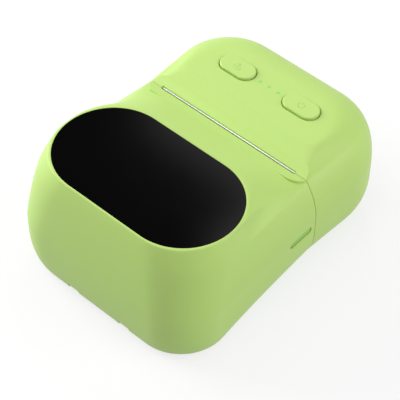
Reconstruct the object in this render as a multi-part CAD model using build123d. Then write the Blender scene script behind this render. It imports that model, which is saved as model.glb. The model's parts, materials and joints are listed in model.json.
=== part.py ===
"""Portable thermal label printer with a hinged front cover, in millimetres.

X is the width, Y the length from the cover's front (-Y) to the button end (+Y), Z up.
The origin is at the centre of the footprint, on the surface that the rubber feet stand on.
The outer body is two lofted shells that meet at a seam plane through the paper slot.
"""
from build123d import *
from math import atan2, cos, degrees, hypot, pi, radians, sin, sqrt, tan
import os

# Outer body
body_length = 103.2
body_height = 45.0
shell_bottom = 0.6
front_half_width = 38.2
seam_half_width = 37.8
rear_half_width = 38.8
wall = 2.0
cover_roof = 2.6
housing_roof = 2.0

# Levels of the body above the table
front_widest = 19.3
rear_widest = 23.0
slot_drop = 8.4
plateau_drop = 4.4
parting_front = 0.9
parting_seam = 5.0
parting_gap = 0.15
floor_top = 2.4

# Shape of the shells
window_from_front = 25.1
window_half_length = 33.7
window_radius = 19.0
window_rim = 0.5
rim_side = 0.9
window_thickness = 1.4
window_ledge = 2.0
window_gap = 0.08
slot_from_window = 36.8
behind_slot_slope = 24.0
front_tuck = 3.0
front_side_tuck = 4.0
front_tuck_height = 14.0
rear_tuck = 10.0
rear_tuck_height = 15.5
front_corner = 15.6
rear_corner = 21.2
rear_top_corner_loss = 8.5
side_shoulder = 12.0
rear_shoulder = 14.0
shoulder_scoop = 4.2
seam_edge = 0.3
rise_edge = 3.0
front_lean_power = 1.23
front_flare_power = 1.56
side_power = 1.72
rear_power = 3.2
crown_above_window = 3.7
seam_gap = 0.2
shortest_side = 0.1
lower_steps = (0, 0.017, 0.05, 0.11, 0.21, 0.35, 0.52, 0.65, 0.76, 0.86, 0.94, 1)

# Paper slot and its raised lip
slot_half_length = 28.3
slot_front = 0.6
tear_bar_thickness = 0.6
tear_bar_height = 3.0
tear_bar_below = 0.3
tear_tooth = 1.4
tear_tooth_depth = 0.4
lip_half_length = 32.6
lip_half_width = 4.5
lip_depth = 5.0
lip_proud = 0.25
lip_run_out = 0.06

# Buttons and lights on the plateau
button_x = 13.4
button_from_slot = 20.7
button_length = 13.5
button_width = 7.4
button_proud = 0.8
button_gap = 0.25
button_travel = 0.5
button_flange = 0.8
button_flange_height = 1.0
button_flange_gap = 0.15
button_round = 0.4
moat_width = 0.9
moat_depth = 0.6
light_spacing = 3.8
light_radius = 0.5
light_collar = 1.0
light_play = 0.05

# Cover hinge at the bottom of the front wall
hinge_from_front = 3.4
hinge_height = 3.2
hinge_pin_radius = 0.75
pin_play = 0.05
knuckle_radius = 1.5
knuckle_clearance = 0.35
lug_x = 11.0
lug_width = 4.0
lug_gap = 0.3
knuckle_width = 2.5
lip_sweep = 3.8
cover_floor_gap = 0.6

# Platen roller and print head
platen_before_seam = 4.2
platen_below_valley = 9.2
platen_radius = 4.0
platen_half_length = 25.8
shaft_radius = 1.5
shaft_play = 0.05
bush_radius = 3.0
arm_inner = 26.3
arm_thickness = 1.1
cheek_gap = 0.3
cheek_thickness = 1.1
notch_play = 0.35
nip_gap = 0.3
head_thickness = 0.8
head_half_length = 26.0
head_below_platen = 5.9
head_above_platen = 5.6
sink_thickness = 2.4
sink_below_platen = 11.0
head_pivot_below_platen = 9.0
head_pivot_radius = 0.9
head_spring_gap = 0.5
head_spring_x = 14.0
head_spring_above_platen = 1.1
head_spring_radius = 2.0
head_spring_wire = 0.4
head_spring_turns = 3
crossbar_behind_sink = 2.6
crossbar_below_platen = 3.4
bracket_above_platen = 7.8
bracket_thickness = 1.2
bracket_screw_x = 18.0
bracket_screw_before_platen = 7.0
bracket_screw_length = 2.8
tab_low = 5.0
frame_screw_x = 24.5
frame_screws_from_seam = (-6.8, 1.7)
frame_screw_length = 3.0
sensor_before_seam = 9.8
sensor_z = 14.0
switch_size = (2.5, 6.0, 4.0)

# Drive gears
gear_module = 0.5
gear_width = 2.4
gear_side_gap = 0.5
platen_teeth = 22
idler_teeth = 28
pinion_teeth = 12
mesh_play = 0.05
idler_side = 24.6
motor_side = 99.8
stud_radius = 1.2
motor_radius = 7.0
motor_length = 14.0
motor_flange = 0.8
motor_ear_radius = 1.9
motor_screw_head = 1.4
motor_ear_angle = radians(60)
motor_shaft_radius = 0.75

# Roll bay
roll_behind_window = 2.5
guide_roof_gap = 2.0
cradle_above_floor = 2.4
cradle_play = 0.6
cradle_wall = 1.2
cradle_half_length = 28.2
saddle_thickness = 1.2
saddle_half_width = 11.0
saddle_rise = 6.7
guide_thickness = 1.6
guide_x = 25.4
guide_travel = 12.0
guide_hub_radius = 5.0
guide_hub_length = 2.5
guide_foot_half = 1.4
guide_slot_half = 1.9
rack_height = 1.8
rack_above_floor = 0.2
rack_width = 1.6
rack_overrun = 3.0
guide_pinion_teeth = 12
guide_post_radius = 1.2

# Release button in the side recess
release_before_seam = 7.2
release_z = 19.6
release_length = 10.6
release_width = 2.6
release_gap = 0.2
release_sunk = 0.65
release_flange = 1.0
release_flange_edge = 0.5
release_stem_radius = 1.2
carrier_x = 30.4
carrier_thickness = 1.0
carrier_half_height = 4.1
carrier_half_length = 5.7
spring_wire = 0.3
flange_gap = 0.3
arm_x = 32.7
arm_wall = 1.0
arm_half_height = 1.8
latch_nose = 0.6
keeper_behind_seam = 1.7
keeper_width = 2.0
keeper_gap = 0.15
keeper_height = 1.4

# Fasteners, feet, boards and battery
foot_radius = 4.0
foot_height = 1.0
front_foot = (20.0, 17.6)
rear_foot = (18.0, 18.6)
post_radius = 2.6
post_split = 6.0
screw_radius = 0.85
screw_head_radius = 1.9
screw_head_height = 1.0
screw_length = 11.0
screw_seat = 2.6
side_screw = (28.5, 20.6)
rear_screw = (20.0, 10.6)
board_below_plateau = 16.6
board_thickness = 1.6
board_half_width = 25.2
board_behind_seam = 7.5
board_length = 19.2
tongue_half_width = 9.0
tongue_rear_gap = 3.6
board_boss_radius = 2.2
board_screw_length = 5.6
front_boss = (22.0, 2.7)
rear_boss = (22.8, 2.2)
key_board_below_plateau = 8.4
key_board_thickness = 1.2
key_board_half_width = 19.0
key_board_half_length = 6.2
key_boss = (3.2, 4.1)
key_boss_radius = 1.6
key_screw_radius = 0.6
key_screw_head = 1.3
key_screw_length = 3.6
key_size = 6.0
key_height = 2.6
plunger_radius = 1.7
plunger_height = 0.6
plunger_gap = 0.1
usb_half_width = 4.5
usb_height = 3.2
usb_depth = 7.6
usb_wall = 0.3
usb_gap = 0.3
battery_size = (32.0, 19.0, 11.0)
battery_from_left = -8.0
battery_behind_seam = 8.2
battery_pad_thickness = 0.8

# Places worked out from the sizes above
front_y = -body_length / 2
rear_y = body_length / 2
window_y = front_y + window_from_front
seam_y = window_y + slot_from_window
valley = body_height - slot_drop
plateau = body_height - plateau_drop
button_y = seam_y + button_from_slot
hinge_y = front_y + hinge_from_front
hinge_z = hinge_height
tray_front = hinge_y + lip_sweep
platen_y = seam_y - platen_before_seam
platen_z = valley - platen_below_valley
head_low = platen_z - head_below_platen
head_high = platen_z + head_above_platen
sink_low = platen_z - sink_below_platen
head_pivot_height = platen_z - head_pivot_below_platen
head_spring_height = platen_z + head_spring_above_platen
crossbar_low = platen_z - crossbar_below_platen
bracket_top = platen_z + bracket_above_platen
bracket_screw_y = platen_y - bracket_screw_before_platen
head_y = platen_y + platen_radius + nip_gap
sink_y = head_y + head_thickness
sink_back = sink_y + sink_thickness
crossbar_y = sink_back + crossbar_behind_sink
cheek_x = arm_inner + arm_thickness + cheek_gap
cheek_outer = cheek_x + cheek_thickness
gear_x = cheek_outer + gear_side_gap
platen_pitch = gear_module * platen_teeth / 2
idler_pitch = gear_module * idler_teeth / 2
pinion_pitch = gear_module * pinion_teeth / 2
idler_reach = platen_pitch + idler_pitch + mesh_play
motor_reach = idler_pitch + pinion_pitch + mesh_play
idler_y = platen_y + idler_reach * sin(radians(idler_side))
idler_z = platen_z - idler_reach * cos(radians(idler_side))
motor_y = idler_y + motor_reach * sin(radians(motor_side))
motor_z = idler_z + motor_reach * cos(radians(motor_side))
roll_y = window_y + roll_behind_window
cradle_low = floor_top + cradle_above_floor
bay_height = body_height - cover_roof - guide_roof_gap - cradle_low
guide_radius = (bay_height - cradle_wall - cradle_play) / 2
cradle_inner = guide_radius + cradle_play
roll_axis_height = cradle_low + cradle_wall + cradle_inner
rack_low = floor_top + rack_above_floor
guide_pitch = gear_module * guide_pinion_teeth / 2
release_y = seam_y - release_before_seam
release_inner = seam_half_width - wall
keeper_y = (seam_y + keeper_behind_seam, seam_y + keeper_behind_seam + keeper_width)
sensor_y = seam_y - sensor_before_seam
board_front = seam_y + board_behind_seam
board_rear = board_front + board_length
board_height = plateau - board_below_plateau
board_top = board_height + board_thickness
tongue_rear = rear_y - tongue_rear_gap
key_board_height = plateau - key_board_below_plateau
key_board_top = key_board_height + key_board_thickness
usb_z = board_top + usb_height / 2
battery_y = seam_y + battery_behind_seam


def mirrored(*spots):
    """Each (x, y) spot and its twin on the other side."""
    return [(side * x, y) for x, y in spots for side in (1, -1)]


frame_screw_spots = mirrored(*[(frame_screw_x, seam_y + along) for along in frame_screws_from_seam])
bracket_screw_spots = mirrored((bracket_screw_x, bracket_screw_y))
housing_screw_spots = mirrored(
    (side_screw[0], rear_y - side_screw[1]),
    (rear_screw[0], rear_y - rear_screw[1]),
)
board_boss_spots = mirrored(
    (front_boss[0], board_front + front_boss[1]),
    (rear_boss[0], board_rear - rear_boss[1]),
)
key_boss_spots = mirrored((key_boss[0], button_y - key_boss[1]), (key_boss[0], button_y + key_boss[1]))
foot_spots = mirrored((front_foot[0], front_y + front_foot[1]), (rear_foot[0], rear_y - rear_foot[1]))


def swell(share, power):
    """How far a wall has drawn in: 0 at its widest level, 1 at the top of its curve."""
    return 1 - sqrt(1 - min(max(share, 0), 1) ** power)


def tuck(z, depth, height):
    """How far a wall draws in under the body, along a quarter of an ellipse."""
    share = min(max(1 - z / height, 0), 0.999)
    return depth * (1 - sqrt(1 - share ** 2))


def outline(z, y_front, y_rear, side_a, side_b, r_front, r_rear):
    """Face at height z: straight front, rear and sides, joined by tangent arcs.

    side_a and side_b are two (y, x) points of the straight right side.
    """
    slope = (side_b[1] - side_a[1]) / (side_b[0] - side_a[0])
    lean = atan2(side_b[1] - side_a[1], side_b[0] - side_a[0])
    # the rear corner ends where the side's straight run would vanish
    room = (y_rear - y_front) / cos(lean) - r_front / tan((radians(90) + lean) / 2) - shortest_side
    r_rear = min(r_rear, room * tan((radians(90) - lean) / 2))

    def corner(y, radius, way):
        x = side_a[1] + slope * (y - side_a[0])
        reach = radius / tan((radians(90) - way * lean) / 2)
        centre = (x - reach, y - way * radius)
        span = hypot(x - centre[0], y - centre[1])
        middle = (centre[0] + radius * reach / span, centre[1] + radius * way * radius / span)
        on_side = (x - way * reach * sin(lean), y - way * reach * cos(lean))
        return (x - reach, y), middle, on_side

    front, front_mid, front_side = corner(y_front, r_front, -1)
    rear, rear_mid, rear_side = corner(y_rear, r_rear, 1)

    def at(point, side=1):
        return (side * point[0], point[1], z)

    return Face(Wire([
        Line(at(front, -1), at(front)),
        ThreePointArc(at(front), at(front_mid), at(front_side)),
        Line(at(front_side), at(rear_side)),
        ThreePointArc(at(rear_side), at(rear_mid), at(rear)),
        Line(at(rear), at(rear, -1)),
        ThreePointArc(at(rear, -1), at(rear_mid, -1), at(rear_side, -1)),
        Line(at(rear_side, -1), at(front_side, -1)),
        ThreePointArc(at(front_side, -1), at(front_mid, -1), at(front, -1)),
    ]))


def seam_width(z, inset=0):
    """Half width of both shells at the seam."""
    up = (z - rear_widest) / (plateau - rear_widest)
    under = tuck(z, rear_tuck, rear_tuck_height)
    return seam_half_width - side_shoulder * swell(up, side_power) - under - inset


def front_outline(z, height, inset=0, setback=0):
    """Outline of the front shell at height z, taken from its law at another height.

    setback moves only the rear edge, which follows the deck's slope above the valley.
    """
    curve = body_height + crown_above_window - front_widest
    up = (height - front_widest) / curve
    top = (body_height - front_widest) / curve
    lean = swell(up, front_lean_power) / swell(top, front_lean_power)
    flare = swell(up, front_flare_power) / swell(top, front_flare_power)
    rim = window_radius + window_rim
    rim_half = window_half_length + window_rim
    climb = min(max((height - front_widest) / (body_height - front_widest), 0), 1)
    under = tuck(height, front_tuck, front_tuck_height)
    y_front = front_y + (window_from_front - rim) * lean + under + inset
    half = front_half_width + (rim_half - front_half_width) * flare - inset
    half -= tuck(height, front_side_tuck, front_tuck_height)
    top_corner = rim - rim_side
    r_front = front_corner + (top_corner - front_corner) * climb ** 0.83 + 0.4 * under - inset
    share = max((height - valley) / slot_drop, 0)
    y_rear = seam_y + (window_y + rim - seam_y) * share
    half_rear = seam_width(min(height, valley), inset)
    half_rear += (rim_half - seam_width(valley)) * share - 4 * shoulder_scoop * share * (1 - share)
    r_rear = seam_edge + (top_corner - seam_edge - inset) * share ** 0.5
    side = (window_y, half), (y_rear, half_rear)
    return outline(z, y_front, y_rear - setback, *side, r_front, r_rear)


def rear_outline(z, height, inset=0, setback=0):
    """Outline of the rear shell at height z; setback moves only its front edge."""
    up = (height - rear_widest) / (plateau - rear_widest)
    shoulder = swell(up, side_power)
    under = tuck(height, rear_tuck, rear_tuck_height)
    y_rear = rear_y - rear_shoulder * swell(up, rear_power) - under - inset
    half = rear_half_width - side_shoulder * shoulder - under - inset
    r_rear = rear_corner - rear_top_corner_loss * shoulder - 0.7 * under - inset
    share = max((height - valley) / (plateau - valley), 0)
    y_front = seam_y + share * (plateau - valley) / tan(radians(behind_slot_slope)) + setback
    r_front = seam_edge + (rise_edge - seam_edge) * share
    side = (seam_y, seam_width(height, inset))
    return outline(z, y_front, y_rear, side, (seam_y + rear_corner, half), r_front, r_rear)


def shell_blank(section, widest, top, upper_steps, inset=0, roof=0):
    """Solid under the shell's outer law, or the hollow inside it for an inset and a roof."""
    lower = [shell_bottom + step * (valley - shell_bottom) for step in lower_steps]
    upper = [valley + step * (top - valley) for step in upper_steps]

    def level(height):
        return height - roof * max(height - widest, 0) / (top - widest)

    body = loft([section(level(h), h, inset) for h in lower])
    return body + loft([section(level(h), h, inset, inset) for h in upper])


def front_blank(inset=0, roof=0):
    steps = (0, 0.06, 0.25, 0.56, 1)
    return shell_blank(front_outline, front_widest, body_height, steps, inset, roof)


def rear_blank(inset=0, roof=0):
    steps = (0, 0.27, 0.52, 0.72, 0.87, 0.96, 1)
    return shell_blank(rear_outline, rear_widest, plateau, steps, inset, roof)


def block(x, y, z):
    """Box between two limits on each axis."""
    size = (x[1] - x[0], y[1] - y[0], z[1] - z[0])
    return Pos((x[0] + x[1]) / 2, (y[0] + y[1]) / 2, (z[0] + z[1]) / 2) * Box(*size)


def rod_x(x, y, z, radius):
    return Pos((x[0] + x[1]) / 2, y, z) * Rot(0, 90, 0) * Cylinder(radius, x[1] - x[0])


def rod_y(x, y, z, radius):
    return Pos(x, (y[0] + y[1]) / 2, z) * Rot(90, 0, 0) * Cylinder(radius, y[1] - y[0])


def rod_z(x, y, z, radius):
    return Pos(x, y, (z[0] + z[1]) / 2) * Cylinder(radius, z[1] - z[0])


def plate_x(x, points):
    """Flat plate between two x limits, from its (y, z) corners."""
    face = make_face(Polyline([(x[0], y, z) for y, z in points], close=True))
    return extrude(face, x[1] - x[0], dir=(1, 0, 0))


def stadium(x, y, z, half_length, radius):
    """Upright slab with round ends along X."""
    spine = half_length - radius
    slab = block((x - spine, x + spine), (y - radius, y + radius), z)
    return slab + rod_z(x - spine, y, z, radius) + rod_z(x + spine, y, z, radius)


def both_sides(piece):
    return piece + piece.mirror(Plane.YZ)


def group(pieces):
    return Compound(children=[solid for piece in pieces for solid in piece.solids()])


def below_parting(gap=0):
    """Everything under the line where the tray meets the shells."""
    side = front_y - 1, seam_y, rear_y + 1
    points = [(side[0], -1), (side[2], -1), (side[2], parting_seam + gap),
              (side[1], parting_seam + gap), (side[0], parting_front + gap)]
    return plate_x((-body_length, body_length), points)


def below_deck():
    """Everything under the lip's two slopes, which run out into the deck at the lip's edge."""
    rise = tan(radians(behind_slot_slope))
    fall = slot_drop / (slot_from_window - window_radius - window_rim)
    reach = lip_half_width
    points = [(seam_y - reach, 0), (seam_y + reach, 0),
              (seam_y + reach, valley + reach * rise - lip_run_out),
              (seam_y, valley + lip_proud), (seam_y - reach, valley + reach * fall - lip_run_out)]
    return plate_x((-lip_half_length - 1, lip_half_length + 1), points)


def lip():
    """Raised lip round the paper slot, with its top edges rounded."""
    z = (valley - lip_depth, body_height)
    return stadium(0, seam_y, z, lip_half_length, lip_half_width) & below_deck()


def seam_side(way, gap=seam_gap / 2):
    """Half space on one side of the seam plane, as a large block."""
    reach = body_length
    near, far = seam_y + way * gap, seam_y + way * reach
    return block((-reach, reach), (min(near, far), max(near, far)), (-1, reach))


def slot_cut(way):
    """The shell's half of the paper slot; the rear half also holds the tear bar."""
    depth = slot_front if way < 0 else head_y - seam_y + tear_bar_thickness
    edge = (seam_y + way * depth, seam_y - way * seam_gap)
    z = (valley - lip_depth - 1, body_height)
    return block((-slot_half_length, slot_half_length), (min(edge), max(edge)), z)


def pill(x, length, width):
    """Round-ended slab at the release button's place, along Y, between two x limits."""
    y, z = release_y, release_z
    spine = (length - width) / 2
    slab = block(x, (y - spine, y + spine), (z - width / 2, z + width / 2))
    return slab + rod_x(x, y - spine, z, width / 2) + rod_x(x, y + spine, z, width / 2)


def lug_span(extra=0):
    return (lug_x - lug_width / 2 - extra, lug_x + lug_width / 2 + extra)


def knuckle_spans():
    inner, outer = lug_span(lug_gap)
    return [(inner - knuckle_width, inner), (outer, outer + knuckle_width)]


def front_cover():
    """Whole front shell with its window seat, hinge knuckles, bosses and release guide."""
    outer = front_blank()
    shell = (outer + lip()) & seam_side(-1)
    shell -= front_blank(wall, cover_roof)
    shell -= below_parting(parting_gap)
    seat = (body_height - window_thickness, body_height + 1)
    shell -= stadium(0, window_y, seat, window_half_length, window_radius)
    hole = (body_height - cover_roof - 2, body_height)
    shell -= stadium(0, window_y, hole, window_half_length - window_ledge, window_radius - window_ledge)
    shell -= slot_cut(-1)
    # hinge knuckles, and room for the tray's lugs between them
    notch = block(lug_span(lug_gap), (front_y - 1, tray_front + 2), (0, hinge_z))
    notch += rod_x(lug_span(lug_gap), hinge_y, hinge_z, knuckle_radius + knuckle_clearance)
    shell -= both_sides(notch)
    for span in knuckle_spans():
        web = block(span, (front_y + 1, hinge_y), (hinge_z - 1, hinge_z + knuckle_radius))
        web = (web + rod_x(span, hinge_y, hinge_z, knuckle_radius)) & outer
        shell += both_sides(web)
    pins = (knuckle_spans()[0][0], knuckle_spans()[1][1])
    shell -= both_sides(rod_x(pins, hinge_y, hinge_z, hinge_pin_radius))
    # bosses that carry the platen bracket
    for x, y in bracket_screw_spots:
        boss = rod_z(x, y, (bracket_top, body_height), board_boss_radius) & front_blank(1, 1)
        shell = shell + boss - tapped(x, y, (0, bracket_top + bracket_screw_length + 0.2))
    # opening and guide of the release button
    opening = (release_inner - 2, seam_half_width + 2)
    shell -= pill(opening, release_length, release_width)
    y = (release_y - carrier_half_length, release_y + carrier_half_length)
    z = (release_z - carrier_half_height, release_z + carrier_half_height)
    guide = block((carrier_x, release_inner + wall / 2), y, z)
    guide -= block((carrier_x + carrier_thickness, release_inner + wall), (y[0] - 1, y[1] + 1),
                   (z[0] + carrier_thickness, z[1] - carrier_thickness))
    hole = (carrier_x - 1, carrier_x + 2)
    guide -= rod_x(hole, release_y, release_z, release_stem_radius + shaft_play)
    return shell + (guide & outer)


def window():
    gap = window_gap
    z = (body_height - window_thickness, body_height)
    return stadium(0, window_y, z, window_half_length - gap, window_radius - gap)


def platen_bracket():
    """Bar under the deck with an arm at each end that holds the platen's bushes."""
    top, y, z = bracket_top, platen_y, platen_z
    outer = arm_inner + arm_thickness
    bar = block((-outer, outer), (y - 11, y - 3), (top - bracket_thickness, top))
    corners = [(y - 11, top), (y - 3, top), (y + 2.5, z + 3.6), (y + 3.5, z), (y + 1.9, z - 3.4),
               (y - 1.9, z - 3.6), (y - 4.5, z - 1)]
    arm = plate_x((arm_inner, outer), corners)
    arm -= rod_x((arm_inner - 1, cheek_outer), y, z, bush_radius)
    bracket = bar + both_sides(arm)
    for x, y in bracket_screw_spots:
        bracket -= rod_z(x, y, (top - 3, top + 1), screw_radius)
    return bracket


def bracket_screws():
    face, length = bracket_top - bracket_thickness, bracket_thickness + bracket_screw_length
    return group([up_screw(x, y, face, length) for x, y in bracket_screw_spots])


def platen_bushes():
    span = (arm_inner, cheek_outer)
    ring = rod_x(span, platen_y, platen_z, bush_radius)
    ring -= rod_x(span, platen_y, platen_z, shaft_radius + shaft_play)
    return group([ring, ring.mirror(Plane.YZ)])


def platen_shaft():
    return rod_x((-gear_x - gear_width - 0.3, cheek_outer + 0.9), platen_y, platen_z, shaft_radius)


def platen_rubber():
    span = (-platen_half_length, platen_half_length)
    sleeve = rod_x(span, platen_y, platen_z, platen_radius)
    return sleeve - rod_x(span, platen_y, platen_z, shaft_radius)


def platen_clip():
    span = (cheek_outer + 0.2, cheek_outer + 0.7)
    ring = rod_x(span, platen_y, platen_z, shaft_radius + 1)
    return ring - rod_x(span, platen_y, platen_z, shaft_radius)


def tooth_points(teeth, phase):
    """Corners of a toothed wheel: each tooth narrows from its root to its tip."""
    pitch = gear_module * teeth / 2
    rings = [(pitch - 1.25 * gear_module, 0.29), (pitch, 0.235), (pitch + gear_module, 0.12)]
    points = []
    for tooth in range(teeth):
        centre = phase + 2 * pi * tooth / teeth
        for way in (-1, 1):
            for radius, half in rings if way < 0 else reversed(rings):
                angle = centre + way * half * 2 * pi / teeth
                points.append((radius * cos(angle), radius * sin(angle)))
    return points


def spur_gear(teeth, y, z, phase, bore):
    """Gear across X with a tooth at the given angle from +Y towards +Z."""
    corners = [(y + a, z + b) for a, b in tooth_points(teeth, phase)]
    wheel = plate_x((-gear_x - gear_width, -gear_x), corners)
    return wheel - rod_x((-gear_x - gear_width, -gear_x), y, z, bore)


def line_angle(start, end):
    return atan2(end[1] - start[1], end[0] - start[0])


def meshed_phase(teeth_a, phase_a, teeth_b, line):
    """Phase of gear b whose gap meets gear a's nearest tooth on the line from a to b."""
    step = 2 * pi / teeth_a
    offset = (phase_a - line + step / 2) % step - step / 2
    return line + pi - offset * teeth_a / teeth_b + pi / teeth_b


def gear_phases():
    platen, idler, motor = (platen_y, platen_z), (idler_y, idler_z), (motor_y, motor_z)
    first = line_angle(platen, idler)
    second = meshed_phase(platen_teeth, first, idler_teeth, first)
    third = meshed_phase(idler_teeth, second, pinion_teeth, line_angle(idler, motor))
    return first, second, third


def platen_gear():
    return spur_gear(platen_teeth, platen_y, platen_z, gear_phases()[0], shaft_radius)


def idler_gear():
    return spur_gear(idler_teeth, idler_y, idler_z, gear_phases()[1], stud_radius + shaft_play)


def motor_pinion():
    return spur_gear(pinion_teeth, motor_y, motor_z, gear_phases()[2], motor_shaft_radius)


def idler_stud():
    return rod_x((-gear_x - gear_width - 0.4, -cheek_x), idler_y, idler_z, stud_radius)


def motor_ears():
    """Two screw places on the motor's flange, on one slanted line."""
    reach = motor_radius + motor_ear_radius - 0.3
    across, up = reach * cos(motor_ear_angle), reach * sin(motor_ear_angle)
    return [(motor_y + across, motor_z + up), (motor_y - across, motor_z - up)]


def motor_case():
    span = (-cheek_x, motor_length - cheek_x)
    case = rod_x(span, motor_y, motor_z, motor_radius)
    flange = (-cheek_x, motor_flange - cheek_x)
    for y, z in motor_ears():
        case += rod_x(flange, y, z, motor_ear_radius)
    for y, z in motor_ears():
        case -= rod_x(flange, y, z, screw_radius)
    return case - rod_x(span, motor_y, motor_z, motor_shaft_radius + shaft_play)


def motor_screws():
    screws = []
    for y, z in motor_ears():
        inner = motor_flange - cheek_x
        head = rod_x((inner, inner + screw_head_height), y, z, motor_screw_head)
        screws.append(head + rod_x((-cheek_outer, inner), y, z, screw_radius))
    return group(screws)


def motor_shaft():
    span = (-gear_x - gear_width - 0.4, motor_length - cheek_x + 0.8)
    return rod_x(span, motor_y, motor_z, motor_shaft_radius)


def tapped(x, y, z):
    """Screw bore between two heights."""
    return rod_z(x, y, z, screw_radius)


def base_tray():
    """Lower body with the floor, hinge lugs, screw bosses and foot recesses."""
    tray = (front_blank() & below_parting()) + (rear_blank() & below_parting())
    across = (-body_length, body_length)
    under_cover = block(across, (tray_front, seam_y), (0, floor_top))
    tray += front_blank(wall + cover_floor_gap, cover_roof) & under_cover
    hollow = block(across, (front_y, rear_y), (floor_top, parting_seam + 1))
    tray -= front_blank(wall, cover_roof) & hollow
    tray -= rear_blank(wall, housing_roof) & hollow
    tray -= block(across, (front_y - 1, tray_front), (0, parting_seam))
    for x, y in housing_screw_spots:
        tray += rod_z(x, y, (floor_top - 0.5, post_split), post_radius)
        tray -= rod_z(x, y, (0, screw_seat), screw_head_radius + 0.2)
        tray -= tapped(x, y, (0, post_split + 1))
    for x, y in frame_screw_spots:
        tray += rod_z(x, y, (floor_top - 0.5, tab_low), board_boss_radius)
        tray -= tapped(x, y, (tab_low - frame_screw_length - 0.3, tab_low + 1))
    tray += rod_z(0, roll_y, (floor_top - 0.5, rack_low + rack_height), guide_post_radius)
    for x, y in foot_spots:
        tray -= rod_z(x, y, (0, foot_height), foot_radius)
    # lugs that carry the cover's hinge pins
    neck = [(hinge_y, hinge_z - knuckle_radius), (tray_front, shell_bottom), (tray_front + 1.5, shell_bottom),
            (tray_front + 1.5, floor_top), (hinge_y + 1.2, hinge_z + 0.9)]
    lug = plate_x(lug_span(), neck) + rod_x(lug_span(), hinge_y, hinge_z, knuckle_radius)
    lug -= rod_x(lug_span(1), hinge_y, hinge_z, hinge_pin_radius + pin_play)
    return tray + both_sides(lug)


def hinge_pins():
    ends = knuckle_spans()
    pin = rod_x((ends[0][0], ends[1][1]), hinge_y, hinge_z, hinge_pin_radius)
    return group([pin, pin.mirror(Plane.YZ)])


def rear_housing():
    """Rear shell with button holes, slot, port, screw posts, board bosses and latch keeper."""
    outer = rear_blank()
    shell = (outer + lip()) & seam_side(1)
    shell -= rear_blank(wall, housing_roof)
    shell -= below_parting(parting_gap)
    shell -= slot_cut(1)
    for x in (-button_x, button_x):
        moat = (plateau - moat_depth, plateau + 1)
        half, radius = button_length / 2, button_width / 2
        shell -= stadium(x, button_y, moat, half + moat_width, radius + moat_width)
        hole = (plateau - housing_roof - 1, plateau)
        shell -= stadium(x, button_y, hole, half + button_gap, radius + button_gap)
    for x in light_places():
        shell -= rod_z(x, button_y, (plateau - housing_roof - 1, plateau + 1), light_radius + light_play)
    port = block((-usb_half_width - usb_gap + port_radius(), usb_half_width + usb_gap - port_radius()),
                 (rear_y - 4, rear_y + 1), (usb_z - port_radius(), usb_z + port_radius()))
    for side in (-1, 1):
        x = side * (usb_half_width + usb_gap - port_radius())
        port += rod_y(x, (rear_y - 4, rear_y + 1), usb_z, port_radius())
    shell -= port
    inside = rear_blank(wall / 2, housing_roof / 2)
    for x, y in housing_screw_spots:
        post = rod_z(x, y, (post_split, plateau), post_radius) & inside
        shell = shell + post - tapped(x, y, (0, screw_seat + screw_length + 0.5))
    for x, y in board_boss_spots:
        boss = rod_z(x, y, (board_top, plateau), board_boss_radius) & inside
        shell = shell + boss - tapped(x, y, (0, board_height + board_screw_length + 0.5))
    for x, y in key_boss_spots:
        boss = rod_z(x, y, (key_board_top, plateau), key_boss_radius) & inside
        shell = shell + boss - rod_z(x, y, (0, key_board_height + key_screw_length + 0.6), key_screw_radius)
    keeper_low = release_z + arm_half_height + 0.2
    x, z = (nose_x() + keeper_gap, release_inner + wall / 2), (keeper_low, keeper_low + keeper_height)
    return shell + (block(x, keeper_y, z) & inside)


def light_places():
    return [light * light_spacing for light in (-1, 0, 1)]


def port_radius():
    return usb_height / 2 + usb_gap


def nose_x():
    return arm_x + arm_wall + latch_nose


def release_button():
    """Pill with its flange, stem and the arm whose nose stops under the housing's keeper."""
    outer = release_inner + wall - release_sunk
    flange = release_inner - flange_gap
    button = pill((flange, outer), release_length - 2 * release_gap, release_width - 2 * release_gap)
    edge = 2 * release_flange_edge
    button += pill((flange - release_flange, flange), release_length + edge, release_width + edge)
    button += rod_x((carrier_x, flange - release_flange), release_y, release_z, release_stem_radius)
    z = (release_z - arm_half_height, release_z + arm_half_height)
    elbow = (flange - release_flange - 1, flange - release_flange)
    root = (release_y + release_stem_radius + 1.2, release_y + release_length / 2 - 0.6)
    button += block((arm_x, elbow[1]), root, z)
    button += block((arm_x, arm_x + arm_wall), (root[0], keeper_y[1]), z)
    return button + block((arm_x, nose_x()), keeper_y, z)


def coil(start, length, radius, wire, turns, axis):
    """Open coil spring from a start point along an axis."""
    path = Helix(length / turns, length, radius)
    ring = Plane(origin=path @ 0, z_dir=path % 0) * Circle(wire / 2)
    spring = sweep(ring, path, is_frenet=True)
    return Plane(origin=start, z_dir=axis) * spring


def release_spring():
    start = carrier_x + carrier_thickness + spring_wire / 2
    length = release_inner - flange_gap - release_flange - spring_wire / 2 - start
    radius = release_stem_radius + 0.1 + spring_wire / 2
    return coil((start, release_y, release_z), length, radius, spring_wire, 4, (1, 0, 0))


def head_springs():
    start = sink_back + head_spring_gap + head_spring_wire / 2
    length = crossbar_y - head_spring_wire / 2 - start
    springs = []
    for x in (-head_spring_x, head_spring_x):
        place = (x, start, head_spring_height)
        shape = (length, head_spring_radius, head_spring_wire, head_spring_turns)
        springs.append(coil(place, *shape, (0, 1, 0)))
    return group(springs)


def tear_bar():
    """Steel strip behind the slot with a toothed top edge."""
    top = valley - tear_bar_below
    low = top - tear_bar_height
    half = slot_half_length - 0.3
    count = int(2 * half / tear_tooth)
    points = [(-half, low), (half, low)]
    for tooth in range(count, -1, -1):
        x = (tooth - count / 2) * 2 * half / count
        points.append((x, top - tear_tooth_depth))
        if tooth > 0:
            points.append((x - half / count, top))
    face = make_face(Polyline([(x, head_y, z) for x, z in points], close=True))
    return extrude(face, tear_bar_thickness, dir=(0, 1, 0))


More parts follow.
